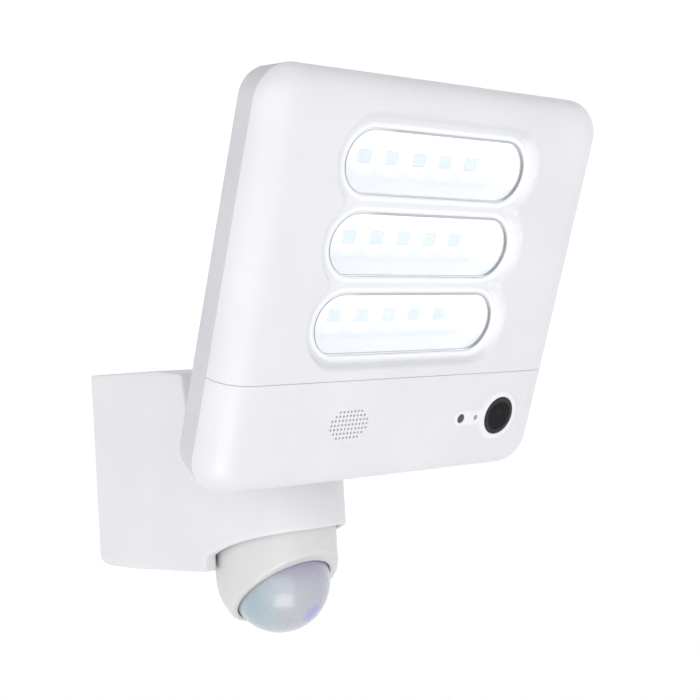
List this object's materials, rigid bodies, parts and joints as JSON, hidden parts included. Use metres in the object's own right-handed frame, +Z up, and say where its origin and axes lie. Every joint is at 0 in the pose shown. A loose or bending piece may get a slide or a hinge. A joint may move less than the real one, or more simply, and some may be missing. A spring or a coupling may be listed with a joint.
{
  "type": "floodlight security camera",
  "caption": "White wall floodlight: a tilting head with LED windows, camera and speaker, on a swivel bracket with a turning motion sensor dome below.",
  "frame": {"origin": "centre of the wall face, which is the back of the wall plate", "axes": "+Y into the wall, -Y forwards, +Z up, +X to the right of someone who faces the wall"},
  "size_m": [0.2112, 0.2396, 0.2668],
  "materials": {
    "shell_plastic": "satin moulded white",
    "bracket_plastic": "fine satin moulded white",
    "ivory_plastic": "satin moulded warm white",
    "pir_lens": "translucent milky grey-blue",
    "clear_window": "clear, polished",
    "reflector_white": "bright white gloss",
    "led_lens": "clear dome over the emitter",
    "led_board_white": "white solder mask",
    "circuit_green": "solder mask",
    "chip_black": "moulded epoxy",
    "black_plastic": "glossy black",
    "lens_glass": "coated glass",
    "sensor_silicon": "iridescent die",
    "sensor_window": "smoked",
    "light_pipe": "frosted",
    "heat_sink_metal": "extruded, plain",
    "steel_zinc": "zinc plated",
    "seal_rubber": "matt",
    "dark_nylon": "plain",
    "flex_copper": "etched foil on film",
    "transformer_yellow": "tape and varnish",
    "capacitor_sleeve": "shrink sleeve",
    "relay_blue": "moulded",
    "terminal_plastic": "moulded",
    "speaker_black": "coated paper and pressed frame"
  },
  "bodies": {
    "bracket": {"wall_plate": "bracket_plastic", "bracket_housing": "bracket_plastic", "cable_grommet": "seal_rubber", "terminal_block": "terminal_plastic", "terminal_screws": "steel_zinc", "power_board": "circuit_green", "transformer": "transformer_yellow", "capacitors": "capacitor_sleeve", "relay": "relay_blue", "board_screws": "steel_zinc", "housing_screws": "steel_zinc"},
    "lamp_swivel": {"pan_washer": "dark_nylon", "pan_nut": "steel_zinc", "swivel_arm": "bracket_plastic"},
    "lamp_head": {"front_cover": "shell_plastic", "lower_cover": "shell_plastic", "rear_housing": "shell_plastic", "cover_seal": "seal_rubber", "head_screws": "steel_zinc", "window_upper": "clear_window", "window_middle": "clear_window", "window_lower": "clear_window", "window_seals": "seal_rubber", "reflector_upper": "reflector_white", "reflector_middle": "reflector_white", "reflector_lower": "reflector_white", "led_board_upper": "led_board_white", "led_board_middle": "led_board_white", "led_board_lower": "led_board_white", "leds_upper": "led_lens", "leds_middle": "led_lens", "leds_lower": "led_lens", "heat_sink": "heat_sink_metal", "camera_bezel": "black_plastic", "camera_glass": "lens_glass", "lens_barrel": "black_plastic", "front_lens": "lens_glass", "rear_lens": "lens_glass", "image_sensor": "sensor_silicon", "camera_board": "circuit_green", "camera_holder": "black_plastic", "light_sensor": "sensor_window", "status_light": "light_pipe", "speaker_frame": "speaker_black", "speaker_cone": "speaker_black", "speaker_magnet": "steel_zinc", "main_board": "circuit_green", "board_chips": "chip_black", "wifi_antenna": "flex_copper", "tilt_bolt": "steel_zinc", "tilt_nut": "steel_zinc", "tilt_washers": "dark_nylon"},
    "pir_turret": {"pir_holder": "ivory_plastic", "pir_retainer": "dark_nylon", "pir_seal": "seal_rubber"},
    "pir_eye": {"pir_dome": "pir_lens", "eye_shell": "ivory_plastic", "pir_board": "circuit_green", "pyro_sensor": "steel_zinc"}
  },
  "joints": [
    {"name": "lamp_pan", "type": "hinge", "parent": "bracket", "child": "lamp_swivel", "pos_m": [0, -0.098, 0.004], "axis": [0, 0, 1], "range_deg": [-50, 50]},
    {"name": "lamp_tilt", "type": "hinge", "parent": "lamp_swivel", "child": "lamp_head", "pos_m": [0, -0.139, 0.05], "axis": [1, 0, 0], "range_deg": [-40, 15]},
    {"name": "sensor_pan", "type": "hinge", "parent": "bracket", "child": "pir_turret", "pos_m": [0, -0.0856, -0.04], "axis": [0, 0, 1], "range_deg": [-60, 60]},
    {"name": "sensor_tilt", "type": "hinge", "parent": "pir_turret", "child": "pir_eye", "pos_m": [0, -0.0874, -0.0626], "axis": [1, 0, 0], "range_deg": [-15, 15]}
  ]
}
